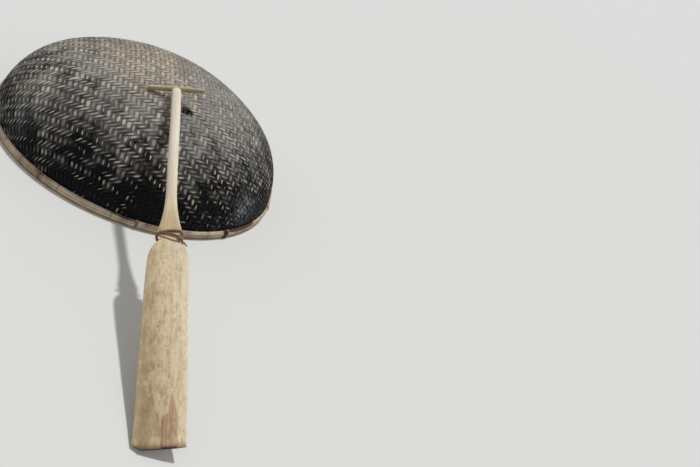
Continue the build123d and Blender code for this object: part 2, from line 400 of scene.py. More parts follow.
def bamboo_finish(name, fibre_vector, light, dark, knot=None, stain=None):
    """Weathered split bamboo with long fibres; knot and stain are masks from 0 to 1."""
    finish = Finish(name)
    vector = fibre_vector(finish)
    fibres = finish.noise(vector, 1.0, 4.0, 0.6)
    broad = finish.noise(vector, 0.2, 3.0, 0.6)
    cloud = finish.noise(finish.object_place(), 14.0, 4.0, 0.6)
    finish.colour = finish.mix(cloud.rise(0.3, 0.7), light, dark)
    finish.coat(broad.rise(0.44, 0.66) * 0.5, linear(0.50, 0.41, 0.33))
    finish.coat(fibres.rise(0.42, 0.72) * 0.7, linear(0.44, 0.36, 0.29))
    height = fibres
    if stain:
        # stain patches; the outer hoop's mask also holds painted shade
        patches = stain(finish) + (cloud - 0.5) * 0.9
        finish.coat(patches.rise(0.30, 0.75), linear(0.30, 0.20, 0.155))
    if knot:
        ring = knot(finish)
        finish.coat(ring * 0.7, linear(0.33, 0.26, 0.20))
        height = height - ring * 0.8
    return finish.surface(0.6 + fibres * 0.25, height, 0.0012)


def cord_finish(name, light, dark, pale=None):
    """Laid fibre cord: many fine strands that run round the yarn."""
    finish = Finish(name)
    run = finish.uv_place("run")
    along, around, _ = finish.parts_of(run)
    lay = ((along * 260.0 + around * 900.0).math("SINE") * 0.5 + 0.5).rise(0.0, 1.0)
    fuzz = finish.grain(run, (180.0, 1500.0), 3.0, 0.65)
    cloud = finish.noise(finish.object_place(), 40.0)
    finish.colour = finish.mix(lay * 0.55 + fuzz * 0.45, dark, light)
    finish.coat(cloud.rise(0.4, 0.75) * 0.5, dark)
    if pale:
        finish.coat(finish.attribute("pale") * (1.0 - fuzz.rise(0.5, 0.9) * 0.5), pale)
    return finish.surface(0.85, lay * 0.5 + fuzz, 0.0008)


def paddle_finish(settings):
    """Bare weathered plank: long grain, mildew specks and a reddish heart patch low on the blade, with painted
    shade growing down the blade and to one side, and a painted highlight on the other side and along its edges.
    """
    finish = Finish("paddle wood")
    run = finish.uv_place("run")
    along, across, _ = finish.parts_of(run)
    warp = finish.grain(run, (1.6, 6.0))
    bent = finish.joined(along, across + warp * 0.05, 0.0)
    grain = finish.grain(bent, (2.4, 90.0), 6.0, 0.7)
    fine = finish.grain(bent, (22.0, 700.0), 3.0, 0.6)
    cloud = finish.noise(run, 11.0, 5.0, 0.65)
    mottle = finish.grain(run, (45.0, 75.0), 5.0, 0.75)
    to_blade = along.rise(FLARE_START - 0.14, NECK_START - 0.05)
    finish.colour = finish.mix(to_blade, opaque(settings.shaft_colour), opaque(settings.wood_colour))
    down_blade = (along - NECK_START) / (PADDLE_LENGTH - NECK_START)
    # painted shade, with mottling: darker down the blade and towards one side
    shade_and_mottle = down_blade * 0.75 - across * 8.0 - 0.15 + (cloud - 0.5) * 1.1 + (mottle - 0.5) * 0.6
    on_blade = along.rise(NECK_START, NECK_START + 0.1)
    finish.coat(shade_and_mottle.rise(-0.05, 1.15) * on_blade, linear(0.595, 0.51, 0.36))
    # painted highlight where the painted shade is least
    finish.coat((1.0 - shade_and_mottle.rise(-0.55, -0.05)) * on_blade * 0.7, linear(0.95, 0.90, 0.80))
    finish.coat(grain.rise(0.38, 0.72) * 0.45, linear(0.72, 0.61, 0.45))
    finish.coat(mottle.rise(0.52, 0.76) * 0.40, linear(0.60, 0.51, 0.38))
    finish.coat(fine.rise(0.54, 0.78) * 0.5, linear(0.48, 0.39, 0.28))
    smudge = finish.grain(run, (34.0, 62.0), 4.0, 0.7, -0.2)
    finish.coat(smudge.rise(0.56, 0.70) * on_blade * 0.6, linear(0.50, 0.42, 0.30))
    blotch = finish.grain(run, (15.0, 42.0), 6.0, 0.75, 0.12)
    blotched = blotch.rise(0.46, 0.60) * on_blade * (0.22 + shade_and_mottle.rise(-0.5, 0.9) * 0.5)
    finish.coat(blotched, linear(0.56, 0.47, 0.32))
    flecks = finish.grain(run, (24.0, 55.0), 5.0, 0.7, -0.1)
    finish.coat(flecks.rise(0.52, 0.66) * on_blade * 0.45, linear(0.82, 0.74, 0.58))
    handled = along.rise(0.72, 0.85) * (1.0 - along.rise(NECK_START - 0.01, NECK_START + 0.03))
    finish.coat(handled * (0.25 + grain * 0.3), linear(0.62, 0.50, 0.36))
    from_tip = PADDLE_LENGTH - along
    waver = (grain - 0.5) * 0.010
    left = 0.010 + from_tip.rise(0.098, 0.125) * 0.018 + from_tip.rise(0.13, 0.21) * 0.011
    right = 0.062 - from_tip.rise(0.10, 0.17) * 0.012 - from_tip.rise(0.16, 0.21) * 0.013
    inside_left = across - left + waver
    heart = inside_left.rise(-0.001, 0.004) * (right - across + waver).rise(-0.001, 0.004)
    streaked = finish.grain(bent, (3.0, 300.0), 4.0, 0.6).rise(0.35, 0.65)
    finish.coat(heart * (0.30 + streaked * 0.42), linear(0.60, 0.41, 0.30))
    heart_line = 1.0 - inside_left.math("ABSOLUTE").rise(0.001, 0.004)
    finish.coat(heart_line * (1.0 - from_tip.rise(0.09, 0.13)) * 0.6, linear(0.36, 0.22, 0.16))
    end_stain = 1.0 - (from_tip + (cloud - 0.5) * 0.03).rise(0.004, 0.022)
    finish.coat(end_stain * 0.5, linear(0.42, 0.26, 0.20))
    finish.coat((1.0 - from_tip.rise(0.002, 0.007)) * heart * 0.8, linear(0.27, 0.13, 0.13))
    cells = {"Vector": finish.stretched(run, (26.0, 75.0), 0.15), "Scale": 1.0}
    specks = finish.value("ShaderNodeTexVoronoi", None, cells, "Distance")
    mould = (1.0 - (specks + (fine - 0.5) * 0.15).rise(0.08, 0.30)) * mottle.rise(0.47, 0.60) * on_blade
    finish.coat(mould * 0.55, linear(0.42, 0.36, 0.27))
    # painted highlight along the blade's edges
    finish.coat(finish.attribute("edge") * 0.35, linear(0.90, 0.84, 0.74))
    return finish.surface(0.62 + grain * 0.2, grain * 0.6 + fine * 0.5, 0.0007)


def grip_finish():
    """The cross bar, its grain along the bar, and painted shade on its underside."""
    finish = Finish("grip wood")
    place = finish.object_place()
    grain = finish.grain(place, (5.0, 240.0, 240.0), 4.0, 0.6)
    cloud = finish.noise(place, 22.0, 4.0, 0.6)
    finish.colour = finish.mix(grain.rise(0.35, 0.7), linear(0.84, 0.77, 0.64), linear(0.68, 0.59, 0.45))
    finish.coat(cloud.rise(0.42, 0.8) * 0.45, linear(0.52, 0.44, 0.33))
    # painted shade: darker below the bar's middle line
    settings, inputs = {"operation": "DOT_PRODUCT"}, {0: place, 1: tuple(DOWN_PADDLE)}
    below = finish.value("ShaderNodeVectorMath", settings, inputs, "Value") - PADDLE_TOP.dot(DOWN_PADDLE)
    finish.coat(below.rise(-0.002, 0.008) * 0.6, linear(0.42, 0.35, 0.25))
    return finish.surface(0.55 + grain * 0.25, grain, 0.0008)


# Meshes


def mesh_from(bm, name):
    """A mesh of what was built."""
    mesh = bpy.data.meshes.new(name)
    bm.to_mesh(mesh)
    bm.free()
    return mesh


def placed(name, data):
    """An object in the scene."""
    made = bpy.data.objects.new(name, data)
    bpy.context.scene.collection.objects.link(made)
    return made


def piece_from(bm, name, materials, replaced=()):
    """A finished piece of the object, smooth, that rides on the hull's body."""
    mesh = mesh_from(bm, name)
    for polygon in mesh.polygons:
        polygon.use_smooth = True
    for material in materials:
        mesh.materials.append(material)
    piece = placed(name, mesh)
    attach(piece, BODY)
    if replaced:
        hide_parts(*replaced)
    return piece


def dress(node, material):
    """Gives a CAD node one material."""
    node.data.materials.clear()
    node.data.materials.append(material)


def thicken(piece, name, thickness, inner_material=0):
    """Makes a sheet thick to both sides; its other side can have the next material."""
    wall = piece.modifiers.new(name, "SOLIDIFY")
    wall.thickness = thickness
    wall.offset = 0.0
    wall.material_offset = inner_material


def grid_sheet(bm, columns, rows):
    """A grid of columns by rows faces; gives each vertex with its column and row."""
    made = bmesh.ops.create_grid(bm, x_segments=columns, y_segments=rows, size=0.5)["verts"]
    return [(vert, round((vert.co.x + 0.5) * columns), round((vert.co.y + 0.5) * rows)) for vert in made]


def skin(bm, rings, lengths, closed=False, marks=None):
    """A tube over rings of points, its map 'run' in metres; marks give numbers by column and row."""
    columns = len(rings) if closed else len(rings) - 1
    sides = len(rings[0])
    uv = bm.loops.layers.uv.get("run") or bm.loops.layers.uv.new("run")
    kept = bm.verts.layers.float
    layers = {name: kept.get(name) or kept.new(name) for name in marks or {}}
    around = [0.0]
    middle = rings[len(rings) // 2]
    for k in range(sides):
        around.append(around[-1] + (middle[(k + 1) % sides] - middle[k]).length)
    places = {}
    for vert, column, row in grid_sheet(bm, columns, sides):
        places[vert] = (lengths[column], around[row])
        vert.co = rings[column % len(rings)][row % sides]
        for name, layer in layers.items():
            vert[layer] = marks[name](column % len(rings), row % sides)
    faces = {face for vert in places for face in vert.link_faces}
    for face in faces:
        for loop in face.loops:
            loop[uv].uv = places[loop.vert]
    bmesh.ops.remove_doubles(bm, verts=list(places), dist=1e-7)
    verts = [vert for vert in places if vert.is_valid]
    if not closed:
        ends = {edge for vert in verts for edge in vert.link_edges if edge.is_boundary}
        bmesh.ops.holes_fill(bm, edges=list(ends), sides=0)


def ring_frames(points, outwards, closed):
    """For each point of a route: the direction outwards and the one beside it, square to the route."""
    count = len(points)
    frames = []
    for k in range(count):
        ahead = points[(k + 1) % count] if closed or k + 1 < count else points[k]
        behind = points[k - 1] if closed or k > 0 else points[k]
        tangent = (ahead - behind).normalized()
        out = (outwards[k] - tangent * outwards[k].dot(tangent)).normalized()
        frames.append((out, tangent.cross(out)))
    return frames


def route_lengths(points, closed):
    """Length along a route at each of its points, and back at the first if it is closed."""
    lengths = [0.0]
    for first, second in zip(points, points[1:] + points[:1]):
        lengths.append(lengths[-1] + (second - first).length)
    return lengths if closed else lengths[:-1]


def cord_tube(bm, points, outwards, radius, flat=1.0, sides=8, closed=False, marks=None):
    """A tube along a route; flat is its thickness as a share of its width."""
    rings = []
    for point, (out, beside) in zip(points, ring_frames(points, outwards, closed)):
        ring = []
        for k in range(sides):
            angle = math.tau * k / sides
            ring.append(point + out * (radius * flat * math.cos(angle)) + beside * (radius * math.sin(angle)))
        rings.append(ring)
    skin(bm, rings, route_lengths(points, closed), closed, marks)


def twisted_cord(bm, points, outwards, radius, strands=2, pitch=0.016):
    """A cord laid from strands that wind round a closed route."""
    frames = ring_frames(points, outwards, True)
    lengths = route_lengths(points, True)
    pitch = lengths[-1] / max(1, round(lengths[-1] / pitch))
    strand_radius = radius * 0.56
    for strand in range(strands):
        wound, facing = [], []
        for point, (out, beside), along in zip(points, frames, lengths):
            angle = math.tau * (along / pitch + strand / strands)
            aside = out * math.cos(angle) + beside * math.sin(angle)
            wound.append(point + aside * (radius - strand_radius))
            facing.append(aside)
        cord_tube(bm, wound, facing, strand_radius, sides=6, closed=True)


# Hull


def dome_point(place, offset=0.0):
    """Point of the hull above a place on the flat mat, whose middle is the crown."""
    arc = place.length
    if arc < CROWN_ARC:
        angle = math.pi / 2 - arc / CROWN_RADIUS
        radius = (CROWN_RADIUS + offset) * math.cos(angle)
        height = CROWN_MIDDLE + (CROWN_RADIUS + offset) * math.sin(angle)
    else:
        angle = MEET_ANGLE - (arc - CROWN_ARC) / BILGE_RADIUS
        radius = BILGE_MIDDLE + (BILGE_RADIUS + offset) * math.cos(angle)
        height = (BILGE_RADIUS + offset) * math.sin(angle)
    share = radius / arc if arc > 1e-9 else 1.0
    return Vector((place.x * share, place.y * share, height))


def next_crossing(first, second, guess, steps):
    """The crossing one step along the hull from two others."""
    nudge = 1e-5
    place = guess.copy()
    start, side = dome_point(first), dome_point(second)

    def misses(at):
        point = dome_point(at)
        return (point - start).length - steps[0], (point - side).length - steps[1]

    for _ in range(8):
        miss = misses(place)
        nudged = misses(place + Vector((nudge, 0))), misses(place + Vector((0, nudge)))
        slope = Matrix([[(there[k] - miss[k]) / nudge for there in nudged] for k in range(2)])
        move = slope.inverted() @ Vector(miss)
        place -= move
        if move.length < 1e-7:
            break
    return place


def crossings(steps, angle, reach):
    """Where the strips cross: a net of even steps between two lines over the crown at an angle."""
    count = int(reach / min(steps)) + 1
    aslant = Vector((math.cos(angle), math.sin(angle)))
    net = {(0, 0): Vector((0, 0))}
    for k in range(1, count + 1):
        net[k, 0] = Vector((k * steps[0], 0))
        net[0, k] = aslant * (k * steps[1])
    for i in range(1, count + 1):
        for j in range(1, count + 1):
            corners = [net.get(key) for key in ((i - 1, j), (i, j - 1), (i - 1, j - 1))]
            if None in corners:
                break
            guess = corners[0] + corners[1] - corners[2]
            if guess.length > reach * 1.06:
                break
            net[i, j] = next_crossing(corners[0], corners[1], guess, steps)
    return net


class Mat:
    """The woven mat: its crossings, and the place on the hull of any point between them."""

    def __init__(self, steps, angle, turn, reach):
        self.steps = steps
        self.sharp = crossings(steps, angle, reach)
        self.wide = crossings(steps, math.pi - angle, reach)
        self.turn = Matrix.Rotation(turn, 2)

    def crossing(self, i, j):
        if i * j < 0:
            place = self.wide.get((abs(i), abs(j)))
            side = 1 if j > 0 else -1
            return place and Vector((-side * place.x, side * place.y))
        place = self.sharp.get((abs(i), abs(j)))
        return place and place * (1 if i + j >= 0 else -1)

    def place(self, along, across):
        """Place on the flat mat of a point, counted in strips."""
        i, j = math.floor(along), math.floor(across)
        s, t = along - i, across - j
        corners = [self.crossing(i + m, j + n) for m, n in ((0, 0), (1, 0), (0, 1), (1, 1))]
        if None in corners:
            return None
        low = corners[0].lerp(corners[1], s)
        high = corners[2].lerp(corners[3], s)
        return self.turn @ low.lerp(high, t)


def float_height(phase):
    """Height of a strip, -1 to 1, where it goes over two strips and under two; phase counts strips."""
    return clamp(1.2 * math.cos(math.pi / 2 * (phase - 1.0)), -1.0)


def spots(*rows):
    """Each row's first three numbers as a place, then its reach and strength."""
    return [(Vector(row[:3]), *row[3:]) for row in rows]


# Pale dust smeared on the hull: place, reach, strength
SMEARS = spots(
    (0.475, -0.575, 0.160, 0.13, 1.6),
    (-0.655, -0.375, 0.170, 0.12, 0.8),
)
# Places where the tar has worn off more than elsewhere, or less, and a painted shadow: place, reach, change of the
# wear
PATCHES = spots(
    (-0.17, -0.10, 0.510, 0.30, 0.40),
    (0.33, -0.17, 0.460, 0.24, 0.22),
    (-0.16, -0.41, 0.438, 0.12, 0.15),
    (-0.30, -0.52, 0.350, 0.12, -0.12),
    (-0.24, -0.64, 0.265, 0.15, 0.14),
    (-0.56, -0.12, 0.380, 0.22, -0.04),
    (-0.62, -0.38, 0.200, 0.20, -0.10),
    # The next two rows: a blot of fresh black tar, painted shadow of the grip's bar
    (0.030, -0.353, 0.481, 0.030, -1.60),
    (0.058, -0.354, 0.479, 0.030, -1.60),
    (-0.52, -0.20, 0.375, 0.20, -0.10),
    (-0.05, -0.74, 0.18, 0.20, -0.20),
    (0.26, -0.68, 0.18, 0.24, 0.03),
    (0.13, -0.53, 0.385, 0.13, -0.16),
    (0.24, -0.62, 0.295, 0.10, -0.14),
    (-0.43, -0.36, 0.38, 0.13, -0.12),
    (0.14, -0.13, 0.53, 0.16, 0.14),
    (0.20, -0.29, 0.48, 0.12, 0.16),
    (-0.62, -0.22, 0.300, 0.12, 0.34),
    (-0.50, -0.36, 0.330, 0.12, -0.16),
    (-0.40, -0.57, 0.250, 0.11, -0.18),
    (-0.32, -0.63, 0.240, 0.09, 0.24),
)


def smear_at(point):
    """How much pale dust lies smeared on the hull at a point."""
    return clamp(max((1.0 - (point - middle).length / reach) * strength for middle, reach, strength in SMEARS))


def wear_and_shade_at(point):
    """How far the tar has worn off at a point: fresh near the rim, worn on the crown, in bands and patches; the
    fresh, dark tar low near the rim is partly painted shade.
    """
    x, y, z = point
    # rises with height: worn on the crown, fresh near the rim, where the dark tar is partly painted shade
    rise = clamp((z - 0.13) / 0.36)
    side = max(0.0, -x - 0.35) * 0.9
    bands = ripple(x * 3.4, y * 3.4, z * 5.0)
    patches = ripple(x * 11.0 + 3.0, y * 11.0, z * 11.0)
    specks = ripple(x * 32.0, y * 32.0 + 5.0, z * 32.0)
    chosen = sum(change * max(0.0, 1.0 - (point - middle).length / reach) for middle, reach, change in PATCHES)
    return -0.04 + 0.93 * rise**1.05 + side + chosen + 0.16 * bands + 0.26 * patches + 0.35 * specks


def weave_strips(mat, settings, family):
    """All strips that run one way, as one mesh, each mapped from the flat mat to the hull."""
    step = mat.steps[family]
    share = settings.strip_width / settings.strip_pitch
    bm = bmesh.new()
    uv = bm.loops.layers.uv.new("strip")
    layers = {name: bm.verts.layers.float.new(name) for name in STRIP_MARKS}
    reach = max(i for i, _ in mat.sharp)
    inside_net = reach - 1e-3
    for row in range(-reach, reach):
        cells = [i for i in range(-reach, reach) if mat.place(*((i, row) if family == 0 else (row, i)))]
        if len(cells) < 3:
            continue
        first, last = min(cells), max(cells) + 1
        slimmed = 1.0 - 0.26 * wobble(row, family, 9)
        places = {}
        for vert, column, side in grid_sheet(bm, (last - first) * QUADS_PER_PITCH, QUADS_ACROSS):
            along = first + column / QUADS_PER_PITCH
            aside = side / QUADS_ACROSS - 0.5
            stray = 0.085 * ripple(along * 0.35, row * 7.1, family * 3.3)
            across = row + 0.5 + stray + aside * share * slimmed
            where = (along, across) if family == 0 else (across, along)
            inside = mat.place(*(clamp(n, -inside_net, inside_net) for n in where))
            if inside is None:
                places[vert] = None
                continue
            counted = along + row - 2.0 * family
            height = float_height(counted % 4.0)
            number = math.floor(counted / 4.0)
            camber = settings.strip_camber * (2 * aside) ** 2
            vert.co = dome_point(inside, -HULL_WALL / 2 + settings.strip_lift * height - camber)
            # wear, low near the rim partly as painted shade
            worn = wear_and_shade_at(vert.co)
            spread = (wobble(row, number, family) - 0.5) * settings.chance * clamp(0.35 + worn, 0.3)
            marks = max(0.0, height), worn, spread, wobble(number, row, family + 5), smear_at(vert.co)
            for layer, mark in zip(layers.values(), marks):
                vert[layer] = mark
            places[vert] = (along * step + row * 0.37, aside * settings.strip_width)
        lost = [vert for vert, place in places.items() if place is None]
        faces = {face for vert in places for face in vert.link_faces}
        for face in faces:
            for loop in face.loops:
                if places[loop.vert]:
                    loop[uv].uv = places[loop.vert]
        bmesh.ops.delete(bm, geom=lost, context="VERTS")
    trim_to_rim(bm)
    return bm


def trim_to_rim(bm):
    """Cuts a sheet off at the rim and turns its faces outwards."""
    everything = bm.verts[:] + bm.edges[:] + bm.faces[:]
    rim = (0, 0, HULL_BASE + SEAT_GAP)
    bmesh.ops.bisect_plane(bm, geom=everything, plane_co=rim, plane_no=(0, 0, -1), clear_outer=True)
    loose = [vert for vert in bm.verts if not vert.link_faces]
    bmesh.ops.delete(bm, geom=loose, context="VERTS")
    bm.normal_update()
    below = Vector((0, 0, -0.5))
    inward = [face for face in bm.faces if face.normal.dot(face.calc_center_median() - below) < 0]
    bmesh.ops.reverse_faces(bm, faces=inward)


class WeaveSettings(bpy.types.PropertyGroup):
    """Sizes and colours of the woven hull."""

    strip_pitch: metres("Strip pitch", "From one crossing to the next, mean", 0.0229)
    pitch_ratio: FloatProperty(
        name="Pitch ratio", description="Pitch of the crosswise strips to that of the others", default=1.30
    )
    strip_width: metres("Strip width", "Mean width of a strip", 0.0216)
    strip_thickness: metres("Strip thickness", "Thickness of a strip", 0.0040)
    strip_lift: metres("Lift", "Rise of a strip over the ones that it crosses", 0.0021)
    strip_camber: metres("Camber", "Drop of a strip's edges", 0.0010)
    mat_turn: degrees("Mat turn", "Turn of the mat about the crown", 13)
    crossing_angle: degrees("Crossing", "Angle of the strips at the crown", 76)
    chance: FloatProperty(name="Chance", description="How unevenly single floats have worn", default=0.62)
    tar_colour: tint("Tar", "Fresh tar", 0.035, 0.035, 0.04)
    dust_colour: tint("Dust", "Dusty tar", 0.57, 0.555, 0.53)
    worn_colour: tint("Worn", "Bare bamboo", 0.80, 0.735, 0.64)
    faded_colour: tint("Faded", "Faded bamboo", 0.70, 0.675, 0.63)


class CORACLE_OT_weave_hull(bpy.types.Operator):
    """Weave the hull from strips in two directions, with tar in its gaps"""

    bl_idname = "coracle.weave_hull"
    bl_label = "Weave Hull"

    def execute(self, context):
        settings = context.scene.coracle_weave
        finishes = tarred_weave_finish(settings), inner_weave_finish()
        uneven = math.sqrt(settings.pitch_ratio)
        steps = settings.strip_pitch * uneven, settings.strip_pitch / uneven
        mat = Mat(steps, settings.crossing_angle, settings.mat_turn, RIM_ARC + max(steps))
        for family, name in enumerate(("weave_lengthwise", "weave_crosswise")):
            bm = weave_strips(mat, settings, family)
            piece = piece_from(bm, name, finishes, ("woven_hull",))
            thicken(piece, "strip thickness", settings.strip_thickness, 1)
        self.tar_coat()
        return {"FINISHED"}

    def tar_coat(self):
        """The tar between the strips: a thin shell at the middle of the wall."""
        bm = bmesh.new()
        chain = []
        for k in range(COAT_RINGS + 1):
            arc = RIM_ARC * k / COAT_RINGS
            chain.append(bm.verts.new(dome_point(Vector((max(arc, 1e-9), 0)), -HULL_WALL / 2)))
        for first, second in zip(chain, chain[1:]):
            bm.edges.new((first, second))
        profile = bm.verts[:] + bm.edges[:]
        round_axis = {"axis": (0, 0, 1), "cent": (0, 0, 0), "angle": math.tau}
        bmesh.ops.spin(bm, geom=profile, steps=COAT_STEPS, use_merge=True, **round_axis)
        bmesh.ops.remove_doubles(bm, verts=bm.verts, dist=1e-5)
        trim_to_rim(bm)
        thicken(piece_from(bm, "tar_coat", (tar_finish(),)), "coat thickness", COAT_THICKNESS)


# Gunwale


def hull_x(offset, height):
    """Distance from the axis to the hull's outer face, moved out by offset, at a height on the bilge."""
    return BILGE_MIDDLE + math.sqrt((BILGE_RADIUS + offset) ** 2 - height**2)


def hoop_height(share):
    """Height on a hoop, from its lower edge at -1 to its upper edge at 1."""
    return CAP_THICKNESS + HOOP_HEIGHT * (share + 1) / 2


def hoop_face(hoop, share):
    """Point of a hoop's rounded face, as radius and height, by the same share as its height."""
    back, thickness, side = hoop
    height = hoop_height(share)
    return hull_x(back, height) + side * (thickness - HOOP_ROUND * share * share), height


def at_azimuth(azimuth, radius, height):
    """Point at an azimuth, a distance from the axis and a height."""
    return Vector((radius * math.cos(azimuth), radius * math.sin(azimuth), height))


def lashing_azimuths():
    """Azimuths of the lashings; the first is the broad binding."""
    return [FIRST_LASHING + k * math.tau / LASHING_COUNT for k in range(LASHING_COUNT)]


def knot_azimuths(settings):
    """Azimuths of the bamboo's knots, clear of the lashings and the scarf."""
    bay = math.tau / LASHING_COUNT
    found = []
    for n, azimuth in enumerate(lashing_azimuths()):
        for k in range(settings.knots_per_bay):
            shift = (wobble(n, k) - 0.5) * 0.35
            middle = azimuth + (k + 0.5 + shift) * bay / settings.knots_per_bay
            if abs(turn_between(middle, SCARF_AZIMUTH)) * HULL_RADIUS > SCARF_LENGTH / 2:
                found.append(middle)
    return found


def hoop_fibres(finish):
    """A vector that runs slowly along the outer hoop and quickly across it."""
    return finish.stretched(finish.uv_place("run"), (7.0, 650.0))


def rib_fibres(axis):
    """A vector that runs slowly along an axis and quickly across it."""
    scale = [7.0 if k == axis else 700.0 for k in range(3)]
    return lambda finish: finish.stretched(finish.object_place(), scale)


def round_rim(finish):
    """A vector that runs slowly round the rim and quickly across it."""
    x, y, z = finish.parts_of(finish.object_place())
    radius = (x * x + y * y).math("SQRT")
    return finish.joined(y.math("ARCTAN2", x) * 5.5, radius * 600.0, z * 600.0)


def ring_mask(turns, narrow, wide):
    """A ring in the middle of each turn."""
    return 1.0 - (turns.math("FRACT") - 0.5).math("ABSOLUTE").rise(narrow, wide)


def rib_knots(axis):
    """Rings across a rib that runs along an axis, in other places on each rib."""

    def mask(finish):
        parts = finish.parts_of(finish.object_place())
        return ring_mask(parts[axis] * 3.1 + parts[1 - axis] * 1.3 + 0.37, 0.008, 0.022)

    return mask


def rim_knots(finish):
    """Rings across the rim where the bamboo has its knots."""
    x, y, _ = finish.parts_of(finish.object_place())
    return ring_mask(y.math("ARCTAN2", x) / math.tau * 40.0 + 0.2, 0.01, 0.035)


def hoop_knots(finish):
    """Rings across the outer hoop, where its mesh has its knots."""
    return finish.attribute("knot")


def hoop_stain_and_shade(finish):
    """Brown on the hoop: stain and painted shade over its upper strand, where it meets the hull; stain in a thin
    stripe below the pale one; painted shade along the groove at the split.
    """
    height = finish.attribute("height")
    streaks = finish.grain(finish.uv_place("run"), (6.0, 150.0), 4.0, 0.6)
    # painted shade along the groove between the two strands
    stripe = height.rise(-0.55, -0.45) - height.rise(-0.27, -0.17)
    split = 1.0 - (height - HOOP_SPLIT).math("ABSOLUTE").rise(0.02, 0.10)
    # stain, with painted shade where the upper strand meets the hull
    upper = height.rise(0.05, 0.80) * finish.attribute("stain")
    return upper * 1.1 + stripe * 0.25 + split * 0.8 + (streaks - 0.5) * 1.3


class GunwaleSettings(bpy.types.PropertyGroup):
    """Sizes of the hoops, their knots and the lashings."""

    knots_per_bay: IntProperty(name="Knots", description="Bamboo knots between two lashings", default=2)
    knot_proud: metres("Knot height", "Rise of a knot", 0.0016)
    knot_width: metres("Knot width", "Width of a knot along the rim", 0.007)
    sprung_end: metres("Sprung end", "How far the hoop's end springs off", 0.008)
    split_depth: metres("Split", "Depth of the groove between the hoop's strands", 0.003)
    strip_width: metres("Lashing strip", "Width of a lashing's strip", 0.0044)
    strip_thickness: metres("Lashing thickness", "Thickness of a lashing's strip", 0.0026)
    lashing_turns: IntProperty(name="Lashing turns", description="Turns of a lashing", default=3)
    binding_turns: IntProperty(name="Binding turns", description="Turns of the broad binding", default=7)


class CORACLE_OT_fit_gunwale(bpy.types.Operator):
    """Fit the outer hoop with its knots, and finish the inner hoop, the cap and the ribs"""

    bl_idname = "coracle.fit_gunwale"
    bl_label = "Fit Gunwale"

    def execute(self, context):
        self.outer_hoop(context.scene.coracle_gunwale)
        finishes = {
            "long_rib": bamboo_finish("bamboo along Y", rib_fibres(1), *BROWN_BAMBOO, rib_knots(1)),
            "cross_rib": bamboo_finish("bamboo along X", rib_fibres(0), *BROWN_BAMBOO, rib_knots(0)),
            "inner_gunwale_hoop": bamboo_finish("bamboo round the rim", round_rim, *BROWN_BAMBOO, rim_knots),
            "rim_cap": bamboo_finish("cap bamboo", round_rim, *CAP_BAMBOO),
        }
        for name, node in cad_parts.items():
            for start, finish in finishes.items():
                if name.startswith(start):
                    dress(node, finish)
        return {"FINISHED"}

    def outer_hoop(self, settings):
        """Outer hoop: a split pole bent round the rim, its ends scarfed and the upper one a little sprung."""
        overlap = SCARF_LENGTH / HULL_RADIUS
        sweep = math.tau + overlap
        knots = knot_azimuths(settings)
        rings, lengths, swells, shares, stains = [], [], [], [], []
        for k in range(HOOP_STEPS + 1):
            turned = sweep * k / HOOP_STEPS
            azimuth = SCARF_AZIMUTH - overlap / 2 + turned
            east, north = math.cos(azimuth), math.sin(azimuth)
            near = min(abs(turn_between(azimuth, knot)) for knot in knots) * HULL_RADIUS
            swell = bell(near / (settings.knot_width / 2))
            left = (sweep - turned) / overlap
            high = clamp(2 * turned / overlap - 1.06, -0.9)
            low = clamp(1 - 2 * left, -1.0, 0.9)
            sprung = settings.sprung_end * max(0.0, 1 - left) ** 2
            apart = bell(turn_between(azimuth, SCARF_AZIMUTH) / STRANDS_APART)
            by_binding = bell((turn_between(azimuth, FIRST_LASHING) - 0.16) / 0.14)
            stains.append(by_binding + 0.55 * (0.5 + ripple(east * 3, north * 3, 4.2)) * (1 - apart))
            depth = settings.split_depth * (1 + 2.2 * apart)
            outline = []
            for n in range(FACE_POINTS + 1):
                share = blend(high, low, n / FACE_POINTS)
                radius, height = hoop_face(OUTER_HOOP, share)
                rough = ripple(east * 9, north * 9, height * 40)
                split = bell((share - HOOP_SPLIT) / (0.08 + 0.10 * apart))
                radius += settings.knot_proud * swell + 0.0007 * rough + sprung - depth * split
                outline.append((share, radius, height))
            for n in range(BACK_POINTS):
                share = blend(low, high, n / (BACK_POINTS - 1))
                height = hoop_height(share)
                outline.append((share, hull_x(OUTER_HOOP[0], height) + sprung, height))
            rings.append([at_azimuth(azimuth, radius, height + sprung * 0.4) for _, radius, height in outline])
            shares.append([share for share, _, _ in outline])
            lengths.append(turned * HULL_RADIUS)
            swells.append(swell)
        bm = bmesh.new()
        marks = {
            "knot": lambda column, row: swells[column],
            "height": lambda column, row: shares[column][row],
            "stain": lambda column, row: stains[column],
        }
        skin(bm, rings, lengths, marks=marks)
        bmesh.ops.recalc_face_normals(bm, faces=bm.faces)
        finish = bamboo_finish("hoop bamboo", hoop_fibres, *HOOP_BAMBOO, hoop_knots, hoop_stain_and_shade)
        piece_from(bm, "outer_hoop_bamboo", (finish,), ("outer_gunwale_hoop",))


